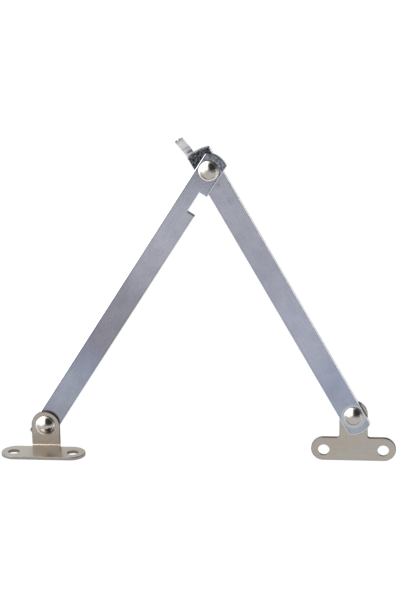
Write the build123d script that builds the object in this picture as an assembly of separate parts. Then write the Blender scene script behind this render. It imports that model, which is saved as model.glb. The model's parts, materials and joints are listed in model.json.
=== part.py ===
from build123d import *
import os
from math import cos, radians, sin, sqrt

# A folding lid stay: two flat steel arms riveted to each other in scissor fashion, a flat bracket
# on one free end and a bent bracket on the other, and a sprung catch that drops into a notch and
# holds the arms in line. Millimetres and degrees. X runs along the flat bracket's row of screw
# holes, Z is up, and -Y faces the person who looks at the rivet heads. The origin is the middle of
# the flat bracket's two screw holes, on the face that lies on the wall.

# Arms
left_arm_pivots = 129.5        # centre rivet to left rivet
right_arm_pivots = 119.0       # centre rivet to right rivet
left_arm_lean = 32.7           # from straight down, towards the left
right_arm_lean = 29.0          # from straight down, towards the right
left_arm_inner_side = 5.1      # from the line of its pivots to the side that faces the other arm
left_arm_outer_side = 4.8
right_arm_inner_side = 5.45
right_arm_outer_side = 4.45
left_arm_thickness = 2.2
right_arm_thickness = 2.2
left_arm_top_reach = 6.85      # from the centre rivet to the end of the arm
left_arm_foot_reach = 7.35     # from the left rivet
left_arm_end_radius = 9.0      # arc of both ends
right_arm_top_reach = 9.0
right_arm_top_radius = 14.0
right_arm_foot_reach = 7.8
right_arm_foot_radius = 8.8
arm_corner_round = 0.5         # where the arcs meet the long sides
arm_edge_round = 0.35          # edge rolled over by the press, on the front

# Notch in the left arm, on the side towards the right arm
notch_start = 9.6              # from the centre rivet
notch_length = 9.4
notch_depth = 3.5

# Catch: a spring leaf behind the right arm with a tongue bent forward
leaf_thickness = 0.7
leaf_tail_length = 9.5         # from the centre rivet towards the right rivet
leaf_width = 8.4
leaf_inset = 0.5               # how far the leaf stays behind the arm's round end
leaf_hole_clearance = 0.4      # round the centre rivet's closed end
leaf_corner_round = 1.5
tongue_width = 3.5
tongue_inset = 0.15            # behind the arm's side, beside the centre rivet
tongue_turn = 2.7              # outwards, so that the tongue leaves the arm past its side
tongue_end_gap = 0.4           # from the arm's round end to the first bend
tongue_root_length = 2.2       # first slope, along the arm
tongue_root_rise = 0.9         # and towards the viewer
tongue_tip_length = 5.2        # second, steeper slope, whose end lies in the notch
tongue_tip_rise = 3.1
tongue_tip_round = 0.7
leaf_bend_radius = 0.9         # middle of the sheet

# Brackets
bracket_thickness = 1.3
tab_width = 11.7
foot_length = 35.0
flat_foot_width = 10.1
bent_foot_width = 12.0
screw_hole_radius = 2.4
screw_hole_spacing = 24.6
screw_hole_shift = 0.55        # from the foot's middle, away from the tab
flat_foot_drop = 10.2          # right rivet down to the top edge of the flat foot
bent_foot_drop = 8.85          # left rivet down to the upper face of the bent foot
bend_inner_radius = 0.6
bend_relief = 0.4              # from the end of the bend to the edge of the foot
flat_corner_round = 1.0        # where the tab meets the foot
bent_corner_round = 0.3
bracket_edge_break = 0.2

# Rivets
shank_radius = 2.0
head_radius = 4.1
head_height = 3.3
head_land = 0.35               # straight rim under the dome
closed_end_radius = 2.8        # spread end of the rivet, behind the arms
closed_end_height = 0.7
closed_end_chamfer = 0.25
countersink_radius = 3.0       # right rivet, spread flush with the wall face
countersink_depth = 0.8

# Fits
running_clearance = 0.06       # radial, where a plate turns on a rivet
stack_gap = 0.05               # between plates that turn on each other
cut_over = 1.0                 # how far a cutting tool runs past the face
same_place = 0.01              # points closer than this are one corner

# Depths of the stack, each the face of a plate on the wall's side
right_arm_back = -bracket_thickness - stack_gap
left_arm_back = right_arm_back - right_arm_thickness - stack_gap
left_tab_back = left_arm_back - left_arm_thickness - stack_gap
left_tab_front = left_tab_back - bracket_thickness

# Pivots in the plane of the arms
flat_foot_edge = screw_hole_shift + flat_foot_width / 2
right_pivot = Vector(0, 0, flat_foot_edge + flat_foot_drop)
right_direction = Vector(sin(radians(right_arm_lean)), 0, -cos(radians(right_arm_lean)))
centre_pivot = right_pivot - right_direction * right_arm_pivots
left_direction = Vector(-sin(radians(left_arm_lean)), 0, -cos(radians(left_arm_lean)))
left_pivot = centre_pivot + left_direction * left_arm_pivots

toward_viewer = Vector(0, -1, 0)


def at_depth(point, depth):
    """The point moved to a depth along Y."""
    return Vector(point.X, depth, point.Z)


def arm_plane(direction, depth):
    """Plane on an arm's back: x runs from the centre rivet along the arm, z towards the viewer."""
    return Plane(origin=at_depth(centre_pivot, depth), x_dir=direction, z_dir=toward_viewer)


def fall(radius, half_width):
    """How far an end's arc falls back between the middle of the strip and its sides."""
    return radius - sqrt(radius ** 2 - half_width ** 2)


def arm_outline(low_side, high_side, top, top_radius, foot, foot_radius):
    """Straight strip between two sides and two ends, each end a shallow arc about its middle."""
    middle = (low_side + high_side) / 2
    half_width = (high_side - low_side) / 2
    top_corner = top + fall(top_radius, half_width)
    foot_corner = foot - fall(foot_radius, half_width)
    edges = [
        Line((top_corner, low_side), (foot_corner, low_side)),
        ThreePointArc((foot_corner, low_side), (foot, middle), (foot_corner, high_side)),
        Line((foot_corner, high_side), (top_corner, high_side)),
        ThreePointArc((top_corner, high_side), (top, middle), (top_corner, low_side)),
    ]
    outline = make_face(edges)
    return fillet(outline.vertices(), arm_corner_round)


def front_outline(plate):
    """Edges round the face nearest the viewer."""
    return plate.faces().sort_by(Axis.Y)[0].outer_wire().edges()


def rolled_front(plate, radius):
    """Round the outline of the face nearest the viewer."""
    return fillet(front_outline(plate), radius)


def left_arm():
    """Front arm: notched beside the centre rivet, turns on it and holds the left rivet."""
    plane = arm_plane(left_direction, left_arm_back)
    sides = (-left_arm_outer_side, left_arm_inner_side)
    foot = left_arm_pivots + left_arm_foot_reach
    outline = arm_outline(*sides, -left_arm_top_reach, left_arm_end_radius, foot, left_arm_end_radius)
    notch = Rectangle(notch_length, notch_depth + cut_over, align=(Align.MIN, Align.MIN))
    outline -= Pos(notch_start, left_arm_inner_side - notch_depth) * notch
    outline -= Circle(shank_radius + running_clearance)
    outline -= Pos(left_arm_pivots, 0) * Circle(shank_radius)
    plate = extrude(plane * outline, amount=left_arm_thickness, dir=toward_viewer)
    return rolled_front(plate, arm_edge_round)


def right_arm():
    """Rear arm: holds the centre rivet and turns on the right rivet."""
    plane = arm_plane(right_direction, right_arm_back)
    sides = (-right_arm_inner_side, right_arm_outer_side)
    foot = right_arm_pivots + right_arm_foot_reach
    outline = arm_outline(*sides, -right_arm_top_reach, right_arm_top_radius, foot, right_arm_foot_radius)
    outline -= Circle(shank_radius)
    outline -= Pos(right_arm_pivots, 0) * Circle(shank_radius + running_clearance)
    plate = extrude(plane * outline, amount=right_arm_thickness, dir=toward_viewer)
    return rolled_front(plate, arm_edge_round)


def leaf_side():
    """The catch seen from its edge: a flat leaf, then two slopes that bring its tongue forward."""
    middle = -leaf_thickness / 2
    first_bend = right_arm_top_reach + tongue_end_gap
    second_bend = first_bend + tongue_root_length
    line = FilletPolyline(
        (leaf_tail_length, middle),
        (-first_bend, middle),
        (-second_bend, middle + tongue_root_rise),
        (-second_bend - tongue_tip_length, middle + tongue_root_rise + tongue_tip_rise),
        radius=leaf_bend_radius,
    )
    return trace(line, line_width=leaf_thickness)


def leaf_plan():
    """The catch seen from the front: a wide root behind the arm and a narrow tongue at one side."""
    root_radius = right_arm_top_reach - leaf_inset
    tip = right_arm_top_reach + tongue_end_gap + tongue_root_length + tongue_tip_length
    root = Circle(root_radius) & Rectangle(2 * root_radius, leaf_width)
    tail = Rectangle(leaf_tail_length, leaf_width, align=(Align.MIN, Align.CENTER))
    tail = fillet(tail.vertices().group_by(Axis.X)[-1], leaf_corner_round)
    tongue = Rectangle(tip, tongue_width, align=(Align.MAX, Align.MIN))
    tongue = fillet(tongue.vertices().group_by(Axis.X)[0], tongue_tip_round)
    tongue_place = Pos(0, tongue_inset - right_arm_inner_side) * Rot(0, 0, tongue_turn)
    outline = root + tail + tongue_place * tongue
    return outline - Circle(closed_end_radius + leaf_hole_clearance)


def release_catch():
    """Spring leaf fixed behind the right arm, its tongue bent forward into the notch's plane."""
    plane = arm_plane(right_direction, right_arm_back)
    side_plane = Plane(origin=plane.origin, x_dir=right_direction, z_dir=-plane.y_dir)
    sheet = extrude(side_plane * leaf_side(), amount=leaf_width, both=True)
    reach = right_arm_thickness + left_arm_thickness + leaf_thickness + cut_over
    blank = extrude(plane * leaf_plan(), amount=reach, both=True)
    return sheet & blank


def foot_outline(width):
    """Full-round foot with its two screw holes, about the middle between them."""
    foot = Pos(0, screw_hole_shift) * SlotOverall(foot_length, width)
    for side in (-1, 1):
        foot -= Pos(side * screw_hole_spacing / 2, 0) * Circle(screw_hole_radius)
    return foot


def inner_corners(outline, height):
    """Corners where the tab's two sides meet the edge of the foot at this height."""
    corners = (Vector(-tab_width / 2, height, 0), Vector(tab_width / 2, height, 0))
    return [v for v in outline.vertices() if min((Vector(v) - c).length for c in corners) < same_place]


def right_bracket():
    """Flat bracket: a round-topped tab on a foot, one sheet, countersunk behind for its rivet."""
    plane = Plane(origin=(0, 0, 0), x_dir=(1, 0, 0), z_dir=toward_viewer)
    rise = right_pivot.Z
    tab = Rectangle(tab_width, rise, align=(Align.CENTER, Align.MIN)) + Pos(0, rise) * Circle(tab_width / 2)
    outline = foot_outline(flat_foot_width) + tab
    outline = fillet(inner_corners(outline, flat_foot_edge), flat_corner_round)
    outline -= Pos(0, rise) * Circle(shank_radius)
    plate = extrude(plane * outline, amount=bracket_thickness, dir=toward_viewer)
    plate = chamfer(front_outline(plate), bracket_edge_break)
    return plate - Pos(right_pivot.X, 0, right_pivot.Z) * countersink()


def countersink():
    """Cone cut from the wall face, that the right rivet's end is spread into."""
    rim = (countersink_radius, 0)
    throat = (shank_radius, -countersink_depth)
    profile = Polyline((0, 0), rim, throat, (0, -countersink_depth), close=True)
    return revolve(make_face(profile), Axis.Y)


def bent_side():
    """The bent bracket from its edge: tab straight down, bend, foot straight towards the viewer."""
    tab_middle = left_tab_back - bracket_thickness / 2
    foot_middle = left_pivot.Z - bent_foot_drop - bracket_thickness / 2
    foot_end = left_tab_front - bend_inner_radius - bend_relief - bent_foot_width
    line = FilletPolyline(
        (tab_middle, left_pivot.Z + tab_width),
        (tab_middle, foot_middle),
        (foot_end, foot_middle),
        radius=bend_inner_radius + bracket_thickness / 2,
    )
    return trace(line, line_width=bracket_thickness)


def left_bracket():
    """Bent bracket: the same blank with its foot turned a quarter towards the viewer."""
    middle = left_pivot.X
    sheet = extrude(Plane.YZ.offset(middle) * bent_side(), amount=foot_length, both=True)

    front = Plane(origin=(middle, 0, left_pivot.Z), x_dir=(1, 0, 0), z_dir=toward_viewer)
    depth = bent_foot_drop + bracket_thickness
    tab = Circle(tab_width / 2) + Rectangle(tab_width, depth, align=(Align.CENTER, Align.MAX))
    tab -= Circle(shank_radius + running_clearance)
    tab_reach = -left_tab_front + bend_inner_radius
    tab_solid = extrude(front * tab, amount=tab_reach, dir=toward_viewer)

    foot_edge = left_tab_front - bend_inner_radius - bend_relief
    hole_line = foot_edge - bent_foot_width / 2 - screw_hole_shift
    above = Plane(origin=(middle, 0, left_pivot.Z - bent_foot_drop), x_dir=(1, 0, 0), z_dir=(0, 0, 1))
    neck = Rectangle(tab_width, left_tab_back - hole_line, align=(Align.CENTER, Align.MIN))
    plan = Pos(0, hole_line) * (foot_outline(bent_foot_width) + neck)
    plan = fillet(inner_corners(plan, foot_edge), bent_corner_round)
    foot_solid = extrude(above * plan, amount=-bracket_thickness)
    bracket = sheet & (tab_solid + foot_solid)
    return chamfer(bend_side_outline(bracket), bracket_edge_break)


def touching(face, other):
    """True where two faces share an edge."""
    return any(edge.is_same(rim) for edge in face.edges() for rim in other.edges())


def bend_side_outline(bracket):
    """Edges round the inner side of the bend: front of the tab, bend and top of the foot."""
    tab = bracket.faces().filter_by(Axis.Y).sort_by(Axis.Y)[-2]
    foot = bracket.faces().filter_by(Axis.Z).sort_by(Axis.Z)[-1]
    round_faces = bracket.faces().filter_by(GeomType.CYLINDER)
    bend = [face for face in round_faces if touching(face, tab) and touching(face, foot)]
    edges = [edge for face in [tab, foot] + bend for edge in face.outer_wire().edges()]
    return [edge for edge in edges if sum(edge.is_same(other) for other in edges) == 1]


def dome(seat):
    """Half outline of a rivet head whose underside lies at this depth, from its crown outwards."""
    rise = head_height - head_land
    ball = (head_radius ** 2 + rise ** 2) / (2 * rise)
    crown = seat - head_height
    half_way = head_radius / 2
    shoulder = crown + ball - sqrt(ball ** 2 - half_way ** 2)
    rim = seat - head_land
    return [
        ThreePointArc((0, crown), (half_way, shoulder), (head_radius, rim)),
        Line((head_radius, rim), (head_radius, seat)),
        Line((head_radius, seat), (shank_radius, seat)),
    ]


def rivet(seat, end, pivot, flush):
    """Domed rivet along Y: head seated at one depth, its closed end beyond the other or flush."""
    if flush:
        sink = end - countersink_depth
        tail = Polyline((shank_radius, seat), (shank_radius, sink), (countersink_radius, end), (0, end))
    else:
        back = end + closed_end_height
        tail = Polyline(
            (shank_radius, seat),
            (shank_radius, end),
            (closed_end_radius, end),
            (closed_end_radius, back - closed_end_chamfer),
            (closed_end_radius - closed_end_chamfer, back),
            (0, back),
        )
    axis_line = Line(tail @ 1, (0, seat - head_height))
    outline = make_face(dome(seat) + [tail, axis_line])
    return Pos(pivot.X, 0, pivot.Z) * revolve(outline, Axis.Y)


def centre_rivet():
    """Head on the left arm, closed on the right arm's back inside the hole in the leaf."""
    seat = left_arm_back - left_arm_thickness - stack_gap
    return rivet(seat, right_arm_back, centre_pivot, False)


def left_rivet():
    """Head on the bent bracket's tab, closed on the left arm's back."""
    return rivet(left_tab_front - stack_gap, left_arm_back, left_pivot, False)


def right_rivet():
    """Head on the right arm, spread flush into the flat bracket."""
    seat = right_arm_back - right_arm_thickness - stack_gap
    return rivet(seat, 0, right_pivot, True)


def main():
    """Build each piece and write it to its own file."""
    pieces = {
        "right_bracket": right_bracket(),
        "right_rivet": right_rivet(),
        "right_arm": right_arm(),
        "centre_rivet": centre_rivet(),
        "release_catch": release_catch(),
        "left_arm": left_arm(),
        "left_rivet": left_rivet(),
        "left_bracket": left_bracket(),
    }
    os.makedirs("parts", exist_ok=True)
    for name, piece in pieces.items():
        export_step(piece, os.path.join("parts", name + ".step"))


main()
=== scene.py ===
"""Looks of a scissor lid stay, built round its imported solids.

Lengths are metres in the frame of the solids: X runs along the flat bracket's screws, Z is up, and
-Y points at the person who looks at the rivet heads. Patterns on a surface are laid out in
millimetres, along and across the piece that carries them.
"""

import json
import logging
import math
from dataclasses import dataclass
from enum import Enum

import bpy
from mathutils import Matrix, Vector

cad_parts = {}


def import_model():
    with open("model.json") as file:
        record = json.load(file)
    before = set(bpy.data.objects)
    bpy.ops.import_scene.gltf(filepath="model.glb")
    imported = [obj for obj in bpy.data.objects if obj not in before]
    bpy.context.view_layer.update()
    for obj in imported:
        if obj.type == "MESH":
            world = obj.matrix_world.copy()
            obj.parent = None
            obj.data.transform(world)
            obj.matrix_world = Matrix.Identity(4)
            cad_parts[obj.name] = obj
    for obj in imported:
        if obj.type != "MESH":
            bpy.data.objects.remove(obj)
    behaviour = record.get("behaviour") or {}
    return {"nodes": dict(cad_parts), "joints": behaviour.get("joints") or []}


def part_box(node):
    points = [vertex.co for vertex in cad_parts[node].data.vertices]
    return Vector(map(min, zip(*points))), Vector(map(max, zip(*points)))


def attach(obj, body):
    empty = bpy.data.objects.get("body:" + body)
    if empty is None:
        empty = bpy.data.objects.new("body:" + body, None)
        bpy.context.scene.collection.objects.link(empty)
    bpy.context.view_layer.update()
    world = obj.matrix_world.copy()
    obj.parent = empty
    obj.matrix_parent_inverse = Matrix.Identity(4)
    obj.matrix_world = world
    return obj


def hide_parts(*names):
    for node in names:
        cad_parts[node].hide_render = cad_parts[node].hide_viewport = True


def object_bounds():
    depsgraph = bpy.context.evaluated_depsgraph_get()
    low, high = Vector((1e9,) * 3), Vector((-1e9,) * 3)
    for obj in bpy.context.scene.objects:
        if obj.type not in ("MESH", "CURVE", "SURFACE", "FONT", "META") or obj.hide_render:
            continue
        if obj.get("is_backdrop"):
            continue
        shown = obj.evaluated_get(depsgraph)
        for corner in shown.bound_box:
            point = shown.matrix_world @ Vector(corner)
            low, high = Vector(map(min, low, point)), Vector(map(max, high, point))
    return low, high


log = logging.getLogger("lid_stay")

MM = 0.001
PHOTO_HEIGHT_PX = 601
SENSOR_MM = 36.0
WHITE = (1.0, 1.0, 1.0)

Colour = tuple[float, float, float]
# Millimetres along an arm from its centre rivet, each with the plate's colour there.
# The colours are partly the plate's own tone and partly painted reflection of darker or lighter
# surroundings.
TonesAndReflections = tuple[tuple[float, Colour], ...]


def tone(red: int, green: int, blue: int) -> Colour:
    """Turn a screen's colour, from 0 to 255, into the linear one that a shader takes."""
    shares = [part / 255 for part in (red, green, blue)]
    return tuple(s / 12.92 if s <= 0.04045 else ((s + 0.055) / 1.055) ** 2.4 for s in shares)


class Value:
    """A shader socket that takes part in Python arithmetic."""

    def __init__(self, board: "Board", socket: bpy.types.NodeSocket) -> None:
        """Keep the socket and the board that it is on."""
        self.board = board
        self.socket = socket

    def __add__(self, other: "Value | float") -> "Value":
        """Add a value."""
        return self.board.math("ADD", self, other)

    __radd__ = __add__

    def __sub__(self, other: "Value | float") -> "Value":
        """Take a value away."""
        return self.board.math("SUBTRACT", self, other)

    def __rsub__(self, other: float) -> "Value":
        """Be taken from a number."""
        return self.board.math("SUBTRACT", other, self)

    def __mul__(self, other: "Value | float") -> "Value":
        """Multiply by a value."""
        return self.board.math("MULTIPLY", self, other)

    __rmul__ = __mul__

    def __truediv__(self, other: "Value | float") -> "Value":
        """Divide by a value."""
        return self.board.math("DIVIDE", self, other)

    def __rtruediv__(self, other: float) -> "Value":
        """Divide a number."""
        return self.board.math("DIVIDE", other, self)

    def __pow__(self, other: "Value | float") -> "Value":
        """Raise to a power."""
        return self.board.math("POWER", self, other)

    def __rpow__(self, other: float) -> "Value":
        """Be the power that a number is raised to."""
        return self.board.math("POWER", other, self)

    def __neg__(self) -> "Value":
        """Change the sign."""
        return self * -1.0

    def __abs__(self) -> "Value":
        """Drop the sign."""
        return self.board.math("ABSOLUTE", self)


class Board:
    """The node tree of one material or world, emptied and then filled by calls."""

    def __init__(self, tree: bpy.types.NodeTree) -> None:
        """Take over a tree and clear it."""
        self.tree = tree
        tree.nodes.clear()

    def add(self, kind: str, settings: dict | None = None, inputs: dict | None = None,
            output: str | int = 0) -> Value | None:
        """Add a node of any type.

        Args:
            kind: Blender's name of the node type.
            settings: Properties set first. The key "stops" holds a ramp's places and colours.
            inputs: Values or links by the socket's name or number.
            output: Name or number of the output that is returned.

        Returns:
            The chosen output, or None where the tree ends.
        """
        node = self.tree.nodes.new(kind)
        for name, setting in (settings or {}).items():
            if name == "stops":
                self._set_stops(node.color_ramp, setting)
            else:
                setattr(node, name, setting)
        for name, value in (inputs or {}).items():
            if isinstance(value, Value):
                self.tree.links.new(value.socket, node.inputs[name])
            elif isinstance(value, tuple) and node.inputs[name].type == "RGBA":
                node.inputs[name].default_value = (*value, 1.0)
            else:
                node.inputs[name].default_value = value
        return Value(self, node.outputs[output]) if len(node.outputs) else None

    @staticmethod
    def _set_stops(ramp: bpy.types.ColorRamp, stops: list[tuple[float, Colour]]) -> None:
        """Give a colour ramp its stops.

        Args:
            ramp: The ramp, which has two stops of its own.
            stops: Places from 0 to 1, each with its colour, from the lowest to the highest.
        """
        ramp.elements[0].position = stops[0][0]
        ramp.elements[-1].position = stops[-1][0]
        for place, colour in stops[1:-1]:
            ramp.elements.new(place).color = (*colour, 1.0)
        ramp.elements[0].color = (*stops[0][1], 1.0)
        ramp.elements[-1].color = (*stops[-1][1], 1.0)

    def math(self, operation: str, *values: "Value | float") -> Value:
        """Add a Math node."""
        return self.add("ShaderNodeMath", {"operation": operation}, dict(enumerate(values)))

    def distance(self, first: Value, second: Value) -> Value:
        """Give the length of a step from its two parts, which are square to each other."""
        return self.math("SQRT", first ** 2 + second ** 2)

    def between(self, value: Value, low: float, high: float) -> Value:
        """Rise smoothly from 0 at one value to 1 at another.

        Args:
            value: What is measured.
            low: Where the result is 0.
            high: Where the result is 1. It may be below low.

        Returns:
            The smooth step.
        """
        if low > high:
            return 1 - self.between(value, high, low)
        settings = {"interpolation_type": "SMOOTHSTEP"}
        return self.add("ShaderNodeMapRange", settings, {0: value, 1: low, 2: high})

    def blend(self, share: "Value | float", first: "Value | Colour", second: "Value | Colour") -> Value:
        """Mix two colours, the second by its share."""
        return self.add("ShaderNodeMix", {"data_type": "RGBA"}, {0: share, 6: first, 7: second}, 2)

    def dim(self, colour: "Value | Colour", by: Value) -> Value:
        """Multiply a colour by a number."""
        return self.add("ShaderNodeVectorMath", {"operation": "SCALE"}, {0: colour, "Scale": by})

    def joined(self, x: "Value | float", y: "Value | float", z: "Value | float") -> Value:
        """Make a vector of three numbers."""
        return self.add("ShaderNodeCombineXYZ", None, {0: x, 1: y, 2: z})

    def noise(self, place: Value, scale: float, detail: float = 2.0) -> Value:
        """Add soft noise from 0 to 1, mostly near a half, with a scale in lumps to the unit."""
        return self.add("ShaderNodeTexNoise", None, {"Vector": place, "Scale": scale, "Detail": detail})

    def mottle(self, place: Value, scale: float, detail: float = 2.0, spread: float = 0.18) -> Value:
        """Add blotches from -0.5 to 0.5, full where the noise is further than spread from a half."""
        return self.between(self.noise(place, scale, detail), 0.5 - spread, 0.5 + spread) - 0.5

    def split(self, vector: Value) -> tuple[Value, Value, Value]:
        """Take a vector apart into its three numbers."""
        parts = self.add("ShaderNodeSeparateXYZ", None, {0: vector})
        return tuple(Value(self, socket) for socket in parts.socket.node.outputs)

    def place(self) -> tuple[Value, Value, Value]:
        """Give the object coordinates, in millimetres."""
        x, y, z = self.split(self.add("ShaderNodeTexCoord", output="Object"))
        return x / MM, y / MM, z / MM

    def facing(self) -> tuple[Value, Value, Value]:
        """Give the normal's part towards the viewer, to the right and up, in the object's own frame."""
        x, y, z = self.split(self.add("ShaderNodeTexCoord", output="Normal"))
        return -y, x, z

    def metal(self, colour: Value, roughness: Value, relief: Value, depth: float,
              glancing: float = 1.0) -> None:
        """Finish the tree as bare metal.

        Args:
            colour: Colour of the reflection.
            roughness: How dull the surface is.
            relief: Height from 0 to 1.
            depth: How high the relief stands, in metres.
            glancing: How much of its shine is left where it is seen edge on.
        """
        bump = {"Height": relief, "Strength": 1.0, "Distance": depth}
        normal = self.add("ShaderNodeBump", None, bump)
        inputs = {"Base Color": colour, "Metallic": 1.0, "Roughness": roughness, "Normal": normal,
                  "Specular Tint": (glancing, glancing, glancing)}
        shader = self.add("ShaderNodeBsdfPrincipled", None, inputs)
        self.add("ShaderNodeOutputMaterial", None, {"Surface": shader})


def dress(piece: bpy.types.Object, name: str) -> Board:
    """Give a piece one new material all over.

    Args:
        piece: The piece.
        name: Name of the material.

    Returns:
        The board for the material's nodes.
    """
    material = bpy.data.materials.new(name)
    material.use_nodes = True
    piece.data.materials.clear()
    piece.data.materials.append(material)
    return Board(material.node_tree)


class Side(Enum):
    """Which side of an arm is its outer one, as seen with the rivet heads in front."""

    LEFT = -1
    RIGHT = 1


class Tail(Enum):
    """How a rivet's far end is closed."""

    SPREAD = "spread"
    FLUSH = "flush"


@dataclass(frozen=True)
class StripPlace:
    """Where a surface point lies on an arm's strip, as values on a material's nodes.

    Attributes:
        board: The material's nodes.
        along: Millimetres from the centre rivet along the arm.
        across: Millimetres from the pivots' line towards the outer side.
        inward: Millimetres from the front face into the strip.
        spread: The three together, to look a pattern up at.
    """

    board: Board
    along: Value
    across: Value
    inward: Value
    spread: Value

    def lines(self, drawn_out: float, scale: float) -> Value:
        """Add fine lines along the arm, from -0.5 to 0.5. The less drawn_out is, the longer they are."""
        place = self.board.joined(self.along * drawn_out, self.across, self.inward)
        return self.board.mottle(place, scale)


@dataclass(frozen=True)
class Strip:
    """Where an arm's flat strip lies.

    Attributes:
        pivot: A point on the centre rivet's axis.
        along: Direction from the centre rivet to the far rivet.
        across: Direction to the outer side.
        length: Millimetres between the rivets.
        inner: Millimetres from the pivots' line to the inner side.
        outer: Millimetres to the outer side.
        front: Depth of the front face in millimetres.
    """

    pivot: Vector
    along: Vector
    across: Vector
    length: float
    inner: float
    outer: float
    front: float

    def lay_out(self, board: Board) -> StripPlace:
        """Measure a surface point along, across and through the strip.

        Args:
            board: The material's nodes.

        Returns:
            Where the point lies.
        """
        x, y, z = board.place()
        right = x - self.pivot.x / MM
        up = z - self.pivot.z / MM
        along = right * self.along.x + up * self.along.z
        across = right * self.across.x + up * self.across.z
        inward = y - self.front
        return StripPlace(board, along, across, inward, board.joined(along, across, inward))


@dataclass(frozen=True)
class Spot:
    """A round mark on an arm, in millimetres from the centre rivet.

    Attributes:
        along: Where it lies along the arm.
        across: Where it lies towards the outer side.
        radius: Where it begins to show.
        strength: How much of its colour shows in its middle.
        colour: Its colour.
        ragged: How far the plate's grain shifts its border.
        heart: Share of the radius within which it shows in full.
    """

    along: float
    across: float
    radius: float
    strength: float
    colour: Colour
    ragged: float = 0.8
    heart: float = 0.2

    def mark(self, at: StripPlace, grain: Value, colour: Value) -> Value:
        """Lay the mark over the plate.

        Args:
            at: Where the surface point lies.
            grain: The plate's grain.
            colour: The plate's colour.

        Returns:
            The marked colour.
        """
        off = at.board.distance(at.along - self.along, at.across - self.across)
        share = at.board.between(off + self.ragged * grain, self.radius, self.radius * self.heart)
        return at.board.blend(share * self.strength, colour, self.colour)


@dataclass(frozen=True)
class DarkEnd:
    """A darker end of an arm, in millimetres along from the centre rivet.

    Attributes:
        clear: Where the plate keeps its own colour.
        full: Where the darkening is full.
        colour: Its colour.
        speckle: How much its flecks vary it.
        ragged: How far the plate's grain shifts its border.
        flecked: How far its flecks shift it.
    """

    clear: float
    full: float
    colour: Colour
    speckle: float
    ragged: float = 2.5
    flecked: float = 2.0

    def darken_end(self, at: StripPlace, grain: Value, colour: Value) -> Value:
        """Darken the arm's end, with pale and dark flecks.

        Args:
            at: Where the surface point lies.
            grain: The plate's grain.
            colour: The plate's colour.

        Returns:
            The darkened colour.
        """
        flecks = at.board.mottle(at.spread, scale=1.0, detail=4.0, spread=0.12)
        border = at.along + self.ragged * grain + self.flecked * flecks
        darkened = at.board.dim(self.colour, 1 + self.speckle * (flecks + 0.5 * grain))
        return at.board.blend(at.board.between(border, self.clear, self.full), colour, darkened)


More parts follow.
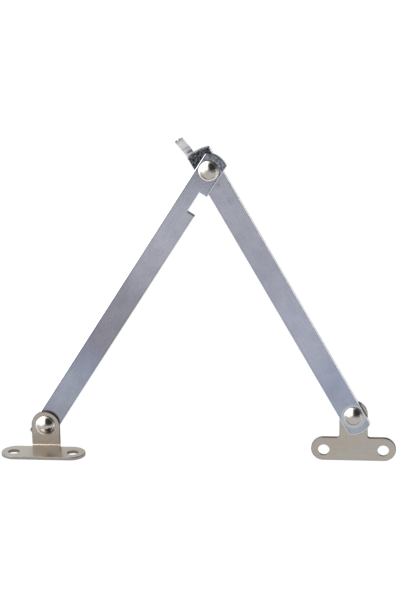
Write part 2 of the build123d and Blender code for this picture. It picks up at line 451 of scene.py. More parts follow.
@dataclass(frozen=True)
class ZincPlate:
    """Bluish zinc plate on rolled strip: clouded, streaked, with a painted highlight where the press
    rolled its edge.

    Attributes:
        tones_and_reflections: The plate's colours along the arm, partly its own tone and partly painted
            reflection.
        grain: How much the fine grain varies the plate's light.
        dark_rim: How much darker the face is beside its outer side.
        dark_end: The darker end beside the centre rivet.
        spots: Heat and handling marks.
        worn_ring: Whether the far rivet's head has rubbed a ring.
        rolled_edge_highlight: Painted highlight, near white, on the edge that the press rolled over.
        sheared: Colour of the cut side's front part.
        torn: Colour of its rear part, where the strip tore off.
        tear: Millimetres into the side where the tear begins and where it is full.
        ring: Colour of the ring that the far rivet's head rubbed.
        ring_radius: Radius of that ring in millimetres.
        cloud: How much the clouds vary the light.
        streak: How much the streaks vary it.
        inner_rim: How much darker the face is beside its inner side.
        rim_width: Millimetres of the face that are darker beside a side.
        dullness: How dull the plate is.
        glancing: How much of its shine is left where it is seen edge on.
        relief: Height of its grain and streaks.
    """

    tones_and_reflections: TonesAndReflections
    grain: float
    dark_rim: float
    dark_end: DarkEnd
    spots: tuple[Spot, ...] = ()
    worn_ring: bool = False
    rolled_edge_highlight: Colour = tone(240, 241, 246)
    sheared: Colour = tone(186, 187, 194)
    torn: Colour = tone(84, 84, 90)
    tear: tuple[float, float] = (1.3, 1.6)
    ring: Colour = tone(190, 196, 197)
    ring_radius: float = 4.8
    cloud: float = 0.09
    streak: float = 0.06
    inner_rim: float = 0.12
    rim_width: float = 1.0
    dullness: float = 0.30
    glancing: float = 0.85
    relief: float = 0.006 * MM

    def cover(self, board: Board, strip: Strip) -> None:
        """Plate one arm.

        Args:
            board: The nodes of the arm's material.
            strip: Where the arm lies.
        """
        at = strip.lay_out(board)
        grain = board.mottle(at.spread, scale=1.3, detail=3.0)
        clouds = board.mottle(at.spread, scale=0.16, detail=3.0)
        streaks = at.lines(drawn_out=0.04, scale=2.2)

        light = 1 + self.cloud * clouds + self.grain * grain + self.streak * streaks
        colour = board.dim(self._tone_along_arm(at), light * self._darken_rims(at, strip))
        for spot in self.spots:
            colour = spot.mark(at, grain, colour)
        if self.worn_ring:
            colour = self._wear_ring(at, strip.length, colour)
        colour = self.dark_end.darken_end(at, grain, colour)

        # Outward is 1 on the front face and 0 on a side, and the rolled edge lies between.
        outward, right, up = board.facing()
        rolled = board.between(outward, 0.995, 0.90) * board.between(outward, 0.25, 0.5)
        side = board.between(abs(outward), 0.5, 0.25)
        top_end = board.between(right * strip.along.x + up * strip.along.z, -0.05, -0.2)
        wall = board.blend(top_end, self._cut(at, streaks), self.dark_end.colour)
        # Painted highlight: the rolled edge is painted near white, except at the end beyond the centre
        # rivet.
        colour = board.blend(rolled * 0.9 * (1 - top_end), colour, self.rolled_edge_highlight)
        colour = board.blend(side, colour, board.dim(wall, 1 + 0.3 * grain))

        # The rolled edge is duller than the face, but not beside the centre rivet.
        lower = 1 - board.between(at.along, 14.0, 9.0)
        roughness = self.dullness + 0.06 * grain + 0.15 * rolled * lower
        board.metal(colour, roughness, grain + 0.5 * streaks, self.relief, self.glancing)

    def _tone_along_arm(self, at: StripPlace) -> Value:
        """Vary the plate's colour along the arm, partly painted reflection, with wavering borders between
        the colours.

        Args:
            at: Where the surface point lies.

        Returns:
            The colour.
        """
        start, end = self.tones_and_reflections[0][0], self.tones_and_reflections[-1][0]
        stops = [((place - start) / (end - start), shade) for place, shade in self.tones_and_reflections]
        drift = at.board.mottle(at.spread, scale=0.09, detail=1.0)
        run = (at.along - start + drift * 5) / (end - start)
        return at.board.add("ShaderNodeValToRGB", {"stops": stops}, {0: run})

    def _darken_rims(self, at: StripPlace, strip: Strip) -> Value:
        """Darken the face beside its two sides.

        Args:
            at: Where the surface point lies.
            strip: Where the arm lies.

        Returns:
            What is left of the light.
        """
        outer = strip.outer - self.rim_width
        inner = self.rim_width - strip.inner
        outer_rim = at.board.between(at.across, outer, outer + self.rim_width / 2)
        inner_rim = at.board.between(at.across, inner, inner - self.rim_width / 2)
        return (1 - self.dark_rim * outer_rim) * (1 - self.inner_rim * inner_rim)

    def _cut(self, at: StripPlace, streaks: Value) -> Value:
        """Colour the cut side, sheared in front and torn behind."""
        torn = at.board.between(at.inward + 0.4 * streaks, *self.tear)
        return at.board.blend(torn, self.sheared, self.torn)

    def _wear_ring(self, at: StripPlace, length: float, colour: Value) -> Value:
        """Rub a pale ring and faint arcs round the far rivet's head.

        Args:
            at: Where the surface point lies.
            length: Millimetres between the rivets.
            colour: The plate's colour.

        Returns:
            The worn colour.
        """
        board = at.board
        off = board.distance(at.along - length, at.across)
        ring = board.between(off, self.ring_radius + 0.4, self.ring_radius) * 0.6
        colour = board.blend(ring, colour, self.ring)
        arcs = board.mottle(board.joined(off, 0.0, 0.0), scale=2.4, detail=1.0)
        return board.dim(colour, 1 + board.between(off, 11.0, 6.0) * 0.2 * arcs)


@dataclass(frozen=True)
class NickelPlate:
    """Warm satin nickel on stamped sheet: faint lines along the foot, dark at its cut edges.

    Attributes:
        warm: Its colour where it is warmest.
        cool: Its colour where it is coolest.
        line: How much the lines vary its light.
        cloud: How much the clouds vary it.
        grit: How much the fine grit varies it.
        glancing: How much of its shine is left where it is seen edge on.
        relief: Height of its lines and grit.
    """

    warm: Colour = tone(170, 161, 151)
    cool: Colour = tone(163, 160, 154)
    line: float = 0.07
    cloud: float = 0.07
    grit: float = 0.05
    glancing: float = 0.85
    relief: float = 0.003 * MM

    def cover(self, board: Board, dullness: float, cut: Value, dark: Colour) -> None:
        """Plate one bracket.

        Args:
            board: The nodes of the bracket's material.
            dullness: How dull its faces are.
            cut: The share of cut edge at a surface point.
            dark: Colour of the cut edges.
        """
        x, y, z = board.place()
        spread = board.joined(x, y, z)
        clouds = board.mottle(spread, scale=0.10)
        lines = board.mottle(board.joined(x * 0.05, y, z), scale=3.0, detail=3.0)
        grit = board.mottle(spread, scale=1.6, detail=3.0)

        colour = board.blend(0.5 + board.mottle(spread, scale=0.13), self.warm, self.cool)
        light = 1 + self.cloud * clouds + self.line * lines + self.grit * grit
        colour = board.dim(colour, light)
        colour = board.blend(cut, colour, board.dim(dark, 1 + 0.5 * grit))
        roughness = dullness + 0.05 * lines + 0.20 * cut
        board.metal(colour, roughness, lines + 0.4 * grit, self.relief, self.glancing)


@dataclass(frozen=True)
class PolishedNickel:
    """Bright nickel on a cold-formed rivet head, slightly rippled.

    Attributes:
        bright: Its colour where it is clean.
        worn: Its colour where it is hazy.
        dullness: How dull the dome is.
        collar_dullness: How much duller the collar is.
        ripple: Height of the ripples.
    """

    bright: Colour = tone(180, 177, 172)
    worn: Colour = tone(168, 164, 158)
    dullness: float = 0.09
    collar_dullness: float = 0.17
    ripple: float = 0.10 * MM

    def cover(self, board: Board, pivot: Vector, foot: float, collar: Colour) -> None:
        """Polish one rivet.

        Args:
            board: The nodes of the rivet's material.
            pivot: A point on the rivet's axis.
            foot: Radius of the dome's foot in millimetres, where the collar begins.
            collar: Colour of the collar: its nickel, made pale by a painted reflection of the pale floor.
        """
        x, y, z = board.place()
        spread = board.joined(x, y, z)
        ripples = board.noise(spread, scale=0.35)
        haze = board.mottle(spread, scale=1.5, detail=3.0)
        off = board.distance(x - pivot.x / MM, z - pivot.z / MM)
        flat = board.between(off, foot - 0.02, foot + 0.12)
        colour = board.blend(0.5 + haze, self.bright, self.worn)
        # The collar takes its colour with a painted reflection of the pale floor in it.
        colour = board.blend(flat, colour, board.dim(collar, 1 + 0.2 * haze))
        roughness = self.dullness + 0.04 * haze + self.collar_dullness * flat
        board.metal(colour, roughness, ripples, self.ripple)


@dataclass(frozen=True)
class SpringLeaf:
    """Bright spring strip, lined along its length, with painted shade at a crease, and tinted at its cut
    tip.

    Attributes:
        bright: Colour of the tongue.
        root: Colour of the leaf before its first bend.
        crease: Colour of the painted shade at the second bend.
        blued: Tint of the tip's very end.
        browned: Tint beside it.
        dullness: How dull it is.
        relief: Height of its lines.
    """

    bright: Colour = tone(206, 207, 207)
    root: Colour = tone(212, 212, 217)
    crease: Colour = tone(174, 176, 182)
    blued: Colour = tone(92, 94, 122)
    browned: Colour = tone(160, 130, 126)
    dullness: float = 0.34
    relief: float = 0.003 * MM

    def cover(self, board: Board, strip: Strip, tip: float, creases: tuple[float, float]) -> None:
        """Finish the catch.

        Args:
            board: The nodes of the catch's material.
            strip: Where the arm that carries the catch lies.
            tip: Where the tongue ends, in millimetres along the arm.
            creases: Its bends in the same measure, the one nearer the tip first.
        """
        at = strip.lay_out(board)
        grit = board.mottle(at.spread, scale=1.6, detail=3.0)
        lines = at.lines(drawn_out=0.08, scale=4.0)
        wander = at.along + grit * 0.7
        crease, first_bend = creases
        colour = board.dim(self.bright, 1 + 0.10 * grit + 0.08 * lines)
        colour = board.blend(board.between(wander, first_bend - 0.9, first_bend), colour, self.root)
        # Painted shade: a darker band along the second bend.
        crease_shade = board.between(abs(wander - crease), 0.7, 0.2)
        colour = board.blend(crease_shade * 0.7, colour, self.crease)
        browned = board.between(wander, tip + 2.4, tip + 1.6) * board.between(grit, 0.0, 0.3)
        blued = board.between(wander, tip + 1.1, tip + 0.6) * board.between(grit, -0.3, 0.1)
        colour = board.blend(browned * 0.7, colour, self.browned)
        colour = board.blend(blued * 0.85, colour, self.blued)
        board.metal(colour, self.dullness + 0.06 * lines, lines, self.relief)


@dataclass
class DomedRivet:
    """A rivet with a polished dome, turned about an axis along Y.

    Attributes:
        node: The solid that it stands for.
        body: The body that it moves with.
        pivot: A point on its axis.
        tail: How its far end is closed.
        collar: Colour of the flat collar round its dome: its nickel, made pale by a painted reflection of
            the pale floor.
        solid_height: Height of the solid's head.
        head_radius: Radius of the head, to the collar's rim.
        head_height: Height of the head.
        dome_radius: Radius of the dome's foot.
        collar_rise: Height of the collar's inner border above the plate.
        land: Height of its straight rim.
        shank_radius: Radius of the shank.
        spread_radius: Radius of a spread tail.
        spread_height: Its height.
        sunk_radius: Radius of a flush tail at the wall.
        sunk_depth: Depth of its countersink.
        edge_round: How far the edges are rounded.
        round_steps: Steps in each rounding.
        sharp: Angle from which an edge counts as sharp.
        segments: Faces round the axis.
        rings: Rings of the whole sphere that the dome is cut from.
    """

    node: str
    body: str
    pivot: Vector
    tail: Tail
    collar: Colour
    solid_height: float = 3.3 * MM
    head_radius: float = 4.1 * MM
    head_height: float = 2.44 * MM
    dome_radius: float = 3.35 * MM
    collar_rise: float = 0.85 * MM
    land: float = 0.5 * MM
    shank_radius: float = 2.0 * MM
    spread_radius: float = 2.8 * MM
    spread_height: float = 0.7 * MM
    sunk_radius: float = 3.0 * MM
    sunk_depth: float = 0.8 * MM
    edge_round: float = 0.12 * MM
    round_steps: int = 3
    sharp: float = math.radians(30)
    segments: int = 96
    rings: int = 72

    def _grow(self, distance: float, scale: float) -> None:
        """Extrude the open rim along Y, then widen or narrow it about the axis.

        Args:
            distance: How far it goes along Y.
            scale: Its new radius as a share of the old one.
        """
        bpy.ops.mesh.extrude_region_move(TRANSFORM_OT_translate={"value": (0, distance, 0)})
        centre = (self.pivot.x, 0, self.pivot.z)
        bpy.ops.transform.resize(value=(scale, 1.0, scale), center_override=centre)

    def _cap(self, crown: float) -> bpy.types.Object:
        """Cut the dome out of a sphere, leaving its rim selected in edit mode.

        Args:
            crown: Depth of the dome's highest point.

        Returns:
            The object, in edit mode.
        """
        rise = self.head_height - self.collar_rise
        ball = (self.dome_radius ** 2 + rise ** 2) / (2 * rise)
        bpy.ops.object.select_all(action="DESELECT")
        bpy.ops.mesh.primitive_uv_sphere_add(
            segments=self.segments, ring_count=self.rings, radius=ball,
            location=(self.pivot.x, crown + ball, self.pivot.z), rotation=(math.pi / 2, 0, 0))
        head = bpy.context.object
        bpy.ops.object.transform_apply(location=True, rotation=True, scale=True)
        bpy.ops.object.mode_set(mode="EDIT")
        bpy.ops.mesh.select_all(action="SELECT")
        bpy.ops.mesh.bisect(plane_co=(0, crown + rise, 0), plane_no=(0, 1, 0), clear_outer=True,
                            threshold=0.001 * MM)
        return head

    def build(self, nickel: PolishedNickel) -> bpy.types.Object:
        """Model the rivet from its dome to its closed end, and polish it.

        Args:
            nickel: The finish.

        Returns:
            The finished piece.
        """
        front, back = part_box(self.node)
        seat = front.y + self.solid_height
        head = self._cap(seat - self.head_height)
        self._grow(self.collar_rise - self.land, self.head_radius / self.dome_radius)
        self._grow(self.land, 1.0)
        self._grow(0.0, self.shank_radius / self.head_radius)
        if self.tail is Tail.SPREAD:
            self._grow(back.y - self.spread_height - seat, 1.0)
            self._grow(0.0, self.spread_radius / self.shank_radius)
            self._grow(self.spread_height, 1.0)
        else:
            self._grow(back.y - self.sunk_depth - seat, 1.0)
            self._grow(self.sunk_depth, self.sunk_radius / self.shank_radius)
        bpy.ops.mesh.edge_face_add()
        bpy.ops.mesh.select_all(action="SELECT")
        bpy.ops.mesh.normals_make_consistent(inside=False)
        bpy.ops.object.mode_set(mode="OBJECT")
        head.name = self.node + "_domed"
        edges = head.modifiers.new("edges", "BEVEL")
        edges.width = self.edge_round
        edges.segments = self.round_steps
        edges.limit_method = "ANGLE"
        edges.angle_limit = self.sharp
        bpy.ops.object.modifier_apply(modifier=edges.name)
        bpy.ops.object.shade_smooth_by_angle(angle=self.sharp)
        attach(head, self.body)
        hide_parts(self.node)
        nickel.cover(dress(head, self.node + "_nickel"), self.pivot, self.dome_radius / MM, self.collar)
        return head


def reach(piece: bpy.types.Object, start: Vector, direction: Vector) -> tuple[float, float]:
    """Measure the least and the most that a piece reaches from a point, in millimetres."""
    steps = [(corner.co - start).dot(direction) / MM for corner in piece.data.vertices]
    return min(steps), max(steps)


@dataclass
class Arm:
    """One of the two flat arms, whose solid stays and is plated.

    Attributes:
        piece: The arm's solid.
        centre: A point on the centre rivet's axis.
        end: A point on the far rivet's axis.
        outer: Which side is the outer one.
        name: What it is called.
        zinc: Its plate.
    """

    piece: bpy.types.Object
    centre: Vector
    end: Vector
    outer: Side
    name: str
    zinc: ZincPlate

    def strip(self) -> Strip:
        """Lay the arm out from its centre rivet.

        Returns:
            Where its flat strip lies.
        """
        run = self.end - self.centre
        along = run.normalized()
        across = Vector((-along.z, 0, along.x)) * self.outer.value
        low, high = reach(self.piece, self.centre, across)
        front, _ = reach(self.piece, Vector(), Vector((0, 1, 0)))
        return Strip(self.centre, along, across, run.length / MM, -low, high, front)

    def plate(self) -> None:
        """Plate the arm."""
        self.zinc.cover(dress(self.piece, self.name + "_zinc"), self.strip())
        log.info("plated the %s", self.name)


@dataclass
class FrontArm(Arm):
    """The notched arm in front, flecked at its top end.

    Attributes:
        name: What it is called.
        zinc: Its plate.
    """

    name: str = "front_arm"
    zinc: ZincPlate = ZincPlate(
        tones_and_reflections=((-8, tone(152, 154, 166)), (6, tone(152, 154, 166)), (22, tone(164, 166, 178)),
                (36, tone(168, 169, 181)), (52, tone(155, 156, 167)), (66, tone(140, 140, 151)),
                (84, tone(136, 135, 146)), (96, tone(137, 141, 157)), (106, tone(152, 157, 172)),
                (118, tone(149, 153, 166)), (126, tone(147, 151, 162))),
        grain=0.10,
        dark_rim=0.18,
        # Its darker top end is a painted reflection of darker surroundings, with flecks.
        dark_end=DarkEnd(9.0, -6.0, tone(120, 122, 132), 0.8),
    )


@dataclass
class RearArm(Arm):
    """The arm behind, with a dark round end, the marks of the catch's weld and a rubbed ring.

    Attributes:
        name: What it is called.
        zinc: Its plate.
    """

    name: str = "rear_arm"
    zinc: ZincPlate = ZincPlate(
        tones_and_reflections=((0, tone(160, 161, 174)), (20, tone(162, 164, 176)), (45, tone(158, 159, 172)),
                (70, tone(164, 167, 182)), (90, tone(164, 168, 183)), (103, tone(149, 156, 175)),
                (114, tone(153, 158, 174)), (126, tone(156, 162, 172))),
        grain=0.06,
        dark_rim=0.0,
        dark_end=DarkEnd(3.5, -0.5, tone(76, 77, 82), 1.6),
        spots=(
            Spot(7.4, -0.4, 1.9, 0.38, tone(158, 148, 134)),
            Spot(7.0, 0.2, 0.8, 0.45, tone(118, 112, 116)),
            Spot(8.9, 4.6, 1.1, 0.5, tone(132, 124, 112)),
            Spot(10.6, 0.8, 1.6, 0.3, tone(140, 142, 170)),
            Spot(15.0, 1.2, 2.2, 0.35, tone(142, 138, 156)),
        ),
        worn_ring=True,
    )


@dataclass
class ReleaseCatch:
    """The spring leaf behind the rear arm.

    Attributes:
        piece: The catch's solid.
        carrier: Where the rear arm's strip lies.
        last_slope: Millimetres from the tip back to the nearer bend.
        both_slopes: Millimetres from the tip back to the farther bend.
    """

    piece: bpy.types.Object
    carrier: Strip
    last_slope: float = 5.2
    both_slopes: float = 7.4

    def finish(self, spring: SpringLeaf) -> None:
        """Finish the leaf, tinted at the tip of its tongue.

        Args:
            spring: The finish.
        """
        tip, _ = reach(self.piece, self.carrier.pivot, self.carrier.along)
        creases = (tip + self.last_slope, tip + self.both_slopes)
        spring.cover(dress(self.piece, "catch_spring"), self.carrier, tip, creases)
        log.info("finished the catch, tip at %.1f mm", tip)


@dataclass
class FlatBracket:
    """The bracket that lies on the wall.

    Attributes:
        piece: The bracket's solid.
        foot_top: Height of the foot's upper edge in millimetres.
        wall_strip: Millimetres from the wall where the tab's edge is dark.
        dullness: How dull its faces are.
        dark: Colour of its cut edges.
    """

    piece: bpy.types.Object
    foot_top: float = 5.6
    wall_strip: float = 0.5
    dullness: float = 0.20
    dark: Colour = tone(66, 60, 53)

    def cut_edges(self, board: Board) -> Value:
        """Find the foot's cut edges and its holes' walls. The tab's edge is dark only at the wall.

        Args:
            board: The material's nodes.

        Returns:
            The share of cut edge at a surface point.
        """
        _, y, z = board.place()
        outward, _, _ = board.facing()
        wall = board.between(abs(outward), 0.95, 0.7)
        on_foot = board.between(z, self.foot_top + 1.2, self.foot_top + 0.4)
        behind = board.between(y, -self.wall_strip, 0.2 - self.wall_strip)
        return wall * board.math("MAXIMUM", on_foot, behind) * 0.85

    def plate(self, nickel: NickelPlate) -> None:
        """Plate the bracket.

        Args:
            nickel: The finish.
        """
        board = dress(self.piece, "flat_bracket_nickel")
        nickel.cover(board, self.dullness, self.cut_edges(board), self.dark)
        log.info("plated the flat bracket")


@dataclass
class BentBracket:
    """The bracket whose foot is turned towards the viewer.

    Attributes:
        piece: The bracket's solid.
        pivot: A point on its rivet's axis.
        sheet: Its thickness in millimetres.
        hole_spacing: Millimetres between its screw holes.
        hole_radius: Their radius.
        hole_depth: Depth of the line of its holes.
        rim_reach: How far behind that line the foot's rim is dark.
        fade: Millimetres in which the dark comes and goes.
        bend: Height of the bend above the foot.
        dullness: How dull its faces are.
        dark: Colour of its cut edges.
    """

    piece: bpy.types.Object
    pivot: Vector
    sheet: float = 1.3
    hole_spacing: float = 24.6
    hole_radius: float = 2.4
    hole_depth: float = -14.7
    rim_reach: float = 6.0
    fade: float = 0.2
    bend: float = 0.9
    dullness: float = 0.30
    dark: Colour = tone(84, 76, 68)

    def cut_edges(self, board: Board) -> Value:
        """Find the tab's cut edge, the foot's front rim and the walls of the screw holes.

        Args:
            board: The material's nodes.

        Returns:
            The share of cut edge at a surface point.
        """
        x, y, z = board.place()
        outward, _, upward = board.facing()
        underside, _ = reach(self.piece, Vector(), Vector((0, 0, 1)))
        tab_foot = underside + self.sheet + self.bend
        edge = board.between(abs(outward), 0.95, 0.7) * board.between(z, tab_foot - 0.3, tab_foot + 0.3)

        side = abs(x - self.pivot.x / MM) - self.hole_spacing / 2
        off = board.distance(side, y - self.hole_depth)
        hole = board.between(off, self.hole_radius + 0.15 + self.fade, self.hole_radius + 0.15)
        low = board.between(z, tab_foot, tab_foot - self.fade)
        hole = hole * board.between(upward, 0.9, 0.6) * low

        chamfer = board.between(upward, 0.1, 0.4)
        rim = board.between(upward, 0.97, 0.88) * low * (0.35 + 0.35 * chamfer)
        rim_end = self.hole_depth + self.rim_reach
        rim = rim * board.between(y, rim_end, rim_end - 1.0)
        return board.math("MAXIMUM", edge, board.math("MAXIMUM", hole * 0.7, rim)) * 0.9

    def plate(self, nickel: NickelPlate) -> None:
        """Plate the bracket.

        Args:
            nickel: The finish.
        """
        board = dress(self.piece, "bent_bracket_nickel")
        nickel.cover(board, self.dullness, self.cut_edges(board), self.dark)
        log.info("plated the bent bracket")


@dataclass(frozen=True)
class Band:
    """What stands round the object at one height, as the metal sees it.

    Azimuth 0 is towards the person who looks at the rivet heads and 90 is to the right. A level
    of 1 shows a colour as it is written.

    Attributes:
        start: Where the band begins to show: degrees up the tent, or metres out on the floor.
        full: Where it shows alone.
        levels: Azimuths from -180 to 180, each with its level.
    """

    start: float
    full: float
    levels: tuple[tuple[float, float], ...]

    def show(self, board: Board, azimuth: Value, peak: float) -> Value:
        """Give the band's brightness.

        Args:
            board: The nodes of the tent or the floor.
            azimuth: The azimuth in degrees.
            peak: The highest level of any band.

        Returns:
            A grey colour.
        """
        stops = [((turn + 180) / 360, (level / peak,) * 3) for turn, level in self.levels]
        ramp = board.add("ShaderNodeValToRGB", {"stops": stops}, {0: (azimuth + 180) / 360})
        return board.dim(ramp, peak)


@dataclass(frozen=True)
class Studio:
    """A pale floor, a soft key lamp and a small photo tent, white at one side and dark at the other.

    Attributes:
        floor_drop: How far the floor lies below the object. The stay clears it hanging straight down.
        table_drop: How far below the object the metal sees the table that the photo was taken on.
        floor_radius: Radius of the floor.
        floor_sides: Sides of the floor.
        paint: Colour of the floor.
        glow: Share of white that the camera adds to it.
        key_place: Where the lamp hangs, from the object's middle.
        key_size: Width of the lamp.
        key_power: Its power in watts.
        peak: The highest level of any band.
        tent: What stands round the object, from straight below to straight above.
        ground: What the metal sees of the table, from the middle outwards.
    """

    floor_drop: float = 260 * MM
    table_drop: float = 60 * MM
    floor_radius: float = 8.0
    floor_sides: int = 96
    paint: Colour = (0.86, 0.86, 0.86)
    glow: float = 0.88
    key_place: tuple[float, float, float] = (-1.0, -0.9, 1.5)
    key_size: float = 1.2
    key_power: float = 14.0
    peak: float = 2.6
    tent: tuple[Band, ...] = (
        Band(-90, -80, ((-180, 1.7), (-155, 1.7), (-138, 1.6), (-118, 2.4), (-50, 2.5), (-30, 1.8),
                        (-10, 0.8), (8, 0.6), (25, 0.32), (68, 0.28), (84, 0.9), (98, 2.5),
                        (118, 2.3), (132, 1.4), (150, 1.7), (180, 1.7))),
        Band(7, 13, ((-180, 0.85), (-172, 0.85), (-167, 1.35), (-150, 1.2), (-136, 1.2), (-116, 2.3),
                     (-100, 2.6), (-14, 2.6), (-8, 1.9), (-2, 0.9), (4, 0.38), (14, 0.13),
                     (30, 0.07), (78, 0.07), (92, 0.3), (106, 1.6), (122, 0.8), (138, 0.12),
                     (174, 0.08), (180, 0.75))),
        Band(35, 50, ((-180, 0.6), (-150, 0.9), (-132, 2.0), (-116, 2.6), (-42, 2.6), (-26, 2.2),
                      (-12, 1.3), (-2, 0.5), (8, 0.18), (28, 0.07), (80, 0.07), (105, 0.25),
                      (140, 0.3), (180, 0.6))),
        Band(65, 85, ((-180, 0.9), (-120, 1.6), (-60, 1.6), (0, 0.7), (60, 0.15), (120, 0.3),
                      (180, 0.9))),
    )
    ground: tuple[Band, ...] = (
        Band(-1.0, -0.5, ((-180, 1.0), (180, 1.0))),
        Band(0.26, 0.44, ((-180, 1.3), (-140, 1.2), (-110, 1.5), (-60, 1.5), (-35, 1.1), (-20, 1.0),
                          (20, 1.0), (50, 0.8), (70, 0.8), (85, 1.2), (100, 1.8), (120, 1.5),
                          (150, 1.5), (180, 1.3))),
        Band(0.55, 0.95, ((-180, 1.7), (-155, 1.7), (-138, 1.6), (-118, 2.4), (-50, 2.5), (-32, 1.4),
                          (-16, 1.0), (10, 0.8), (35, 0.4), (68, 0.3), (84, 0.9), (98, 2.5),
                          (118, 2.3), (132, 1.4), (150, 1.7), (180, 1.7))),
    )

    def _stack(self, board: Board, bands: tuple[Band, ...], azimuth: Value, height: Value) -> Value:
        """Blend bands from the lowest or nearest on.

        Args:
            board: The nodes of the tent or the floor.
            bands: The bands in order.
            azimuth: The azimuth in degrees.
            height: Degrees up, or metres out.

        Returns:
            A grey colour.
        """
        colour = bands[0].show(board, azimuth, self.peak)
        for band in bands[1:]:
            share = board.between(height, band.start, band.full)
            colour = board.blend(share, colour, band.show(board, azimuth, self.peak))
        return colour

    def hang_tent(self) -> None:
        """Make the world: white to the camera, and the tent to everything else."""
        world = bpy.data.worlds.new("photo_tent")
        world.use_nodes = True
        bpy.context.scene.world = world
        board = Board(world.node_tree)
        x, y, z = board.split(board.add("ShaderNodeTexCoord", output="Generated"))
        azimuth = board.math("ARCTAN2", x, -y) * math.degrees(1)
        elevation = board.math("ARCSINE", z) * math.degrees(1)
        colour = self._stack(board, self.tent, azimuth, elevation)
        seen = board.add("ShaderNodeLightPath", output="Is Camera Ray")
        colour = board.blend(seen, colour, WHITE)
        light = board.add("ShaderNodeBackground", None, {"Color": colour, "Strength": 1.0})
        board.add("ShaderNodeOutputWorld", None, {"Surface": light})

    def lay_floor(self, middle: Vector, lowest: float) -> None:
        """Lay the floor below the object, pale in the picture and in the metal.

        Args:
            middle: The object's middle.
            lowest: The object's lowest point.
        """
        bpy.ops.object.select_all(action="DESELECT")
        bpy.ops.mesh.primitive_circle_add(vertices=self.floor_sides, radius=self.floor_radius,
                                          fill_type="NGON", location=(0, 0, lowest - self.floor_drop))
        floor = bpy.context.object
        floor.name = "pale_floor"
        bpy.ops.object.transform_apply(location=True, rotation=True, scale=True)
        board = dress(floor, "pale_floor")
        x, y, _ = board.split(board.add("ShaderNodeTexCoord", output="Object"))
        back_x, back_y, back_z = board.split(board.add("ShaderNodeNewGeometry", output="Incoming"))
        way_back = (self.floor_drop - self.table_drop) / back_z
        right = x + way_back * back_x - middle.x
        forward = -(y + way_back * back_y)
        azimuth = board.math("ARCTAN2", right, forward) * math.degrees(1)
        ground = self._stack(board, self.ground, azimuth, board.distance(right, forward))
        seen = board.add("ShaderNodeLightPath", output="Is Camera Ray")
        mirrored = board.add("ShaderNodeLightPath", output="Is Glossy Ray")
        paint = board.add("ShaderNodeBsdfDiffuse", None, {"Color": self.paint})
        colour = board.blend(mirrored, WHITE, ground)
        glow = board.add("ShaderNodeEmission", None, {"Color": colour, "Strength": 1.0})
        share = board.math("MAXIMUM", seen * self.glow, mirrored)
        surface = board.add("ShaderNodeMixShader", None, {0: share, 1: paint, 2: glow})
        board.add("ShaderNodeOutputMaterial", None, {"Surface": surface})
        floor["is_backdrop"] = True

    def hang_key(self, target: Vector) -> None:
        """Hang one large soft lamp above and to the left.

        Args:
            target: What it points at.
        """
        lamp = bpy.data.lights.new("key", "AREA")
        lamp.shape = "DISK"
        lamp.size = self.key_size
        lamp.energy = self.key_power
        key = bpy.data.objects.new("key", lamp)
        bpy.context.scene.collection.objects.link(key)
        key.location = target + Vector(self.key_place)
        key.rotation_euler = (target - key.location).to_track_quat("-Z", "Y").to_euler()


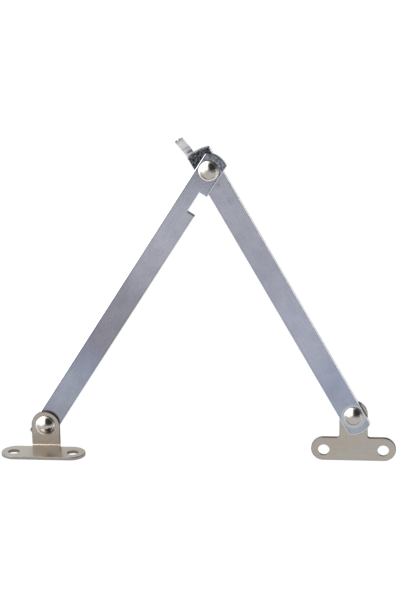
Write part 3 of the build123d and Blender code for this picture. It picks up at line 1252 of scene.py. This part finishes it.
@dataclass(frozen=True)
class PhotoCamera:
    """The camera at the photograph's place.

    Attributes:
        elevation: Degrees that it looks down.
        yaw: Degrees that it stands round to the right.
        roll: Degrees that it is turned about its line of sight.
        distance: How far it stands from its aim.
        focal_px: Focal length in pixels of the photograph.
        aim: What it points at.
        nearest: The nearest that it shows.
        farthest: The farthest.
    """

    elevation: float = 17.82
    yaw: float = 6.0
    roll: float = -1.13
    distance: float = 0.8189
    focal_px: float = 2016.4
    aim: tuple[float, float, float] = (-62.18 * MM, -3.6 * MM, 65.17 * MM)
    nearest: float = 0.01
    farthest: float = 50.0

    def place(self) -> None:
        """Set the camera up and make it the scene's."""
        rise, turn = math.radians(self.elevation), math.radians(self.yaw)
        back = Vector((math.sin(turn) * math.cos(rise), -math.cos(turn) * math.cos(rise), math.sin(rise)))
        data = bpy.data.cameras.new("photo")
        data.sensor_width = SENSOR_MM
        data.lens = SENSOR_MM * self.focal_px / PHOTO_HEIGHT_PX
        data.clip_start = self.nearest
        data.clip_end = self.farthest
        camera = bpy.data.objects.new("photo", data)
        bpy.context.scene.collection.objects.link(camera)
        camera.location = Vector(self.aim) + back * self.distance
        camera.rotation_euler = (-back).to_track_quat("-Z", "Y").to_euler()
        camera.rotation_euler.rotate_axis("Z", math.radians(self.roll))
        bpy.context.scene.camera = camera


def main() -> None:
    """Dress the stay and set up the studio round it."""
    logging.basicConfig(level=logging.INFO, format="%(name)s: %(message)s")
    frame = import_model()
    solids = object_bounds()
    nodes = frame["nodes"]
    joints = {joint["name"]: Vector(joint["pos_m"]) for joint in frame["joints"] if "pos_m" in joint}
    pivots = ("centre_pivot", "bent_bracket_pivot", "flat_bracket_pivot")
    centre, left, right = (joints[name] for name in pivots)

    rear_arm = RearArm(nodes["right_arm"], centre, right, Side.RIGHT)
    rear_arm.plate()
    FrontArm(nodes["left_arm"], centre, left, Side.LEFT).plate()
    ReleaseCatch(nodes["release_catch"], rear_arm.strip()).finish(SpringLeaf())
    nickel = NickelPlate()
    FlatBracket(nodes["right_bracket"]).plate(nickel)
    BentBracket(nodes["left_bracket"], left).plate(nickel)

    polish = PolishedNickel()
    # Painted reflection: the collars are painted pale, warm or cool, for the pale floor mirrored in them.
    warm_collar_reflection = tone(222, 213, 201)
    cool_collar_reflection = tone(188, 189, 186)
    rivets = (
        DomedRivet("centre_rivet", "rear_arm", centre, Tail.SPREAD, warm_collar_reflection),
        DomedRivet("left_rivet", "front_arm", left, Tail.SPREAD, warm_collar_reflection),
        DomedRivet("right_rivet", "flat_bracket", right, Tail.FLUSH, cool_collar_reflection),
    )
    for rivet in rivets:
        head = rivet.build(polish)
        log.info("made %s with %d faces", head.name, len(head.data.polygons))

    studio = Studio()
    middle = (solids[0] + solids[1]) / 2
    studio.hang_tent()
    studio.lay_floor(middle, solids[0].z)
    studio.hang_key(middle)
    PhotoCamera().place()
    bpy.context.scene.view_settings.view_transform = "Standard"


if __name__ == "__main__":
    main()
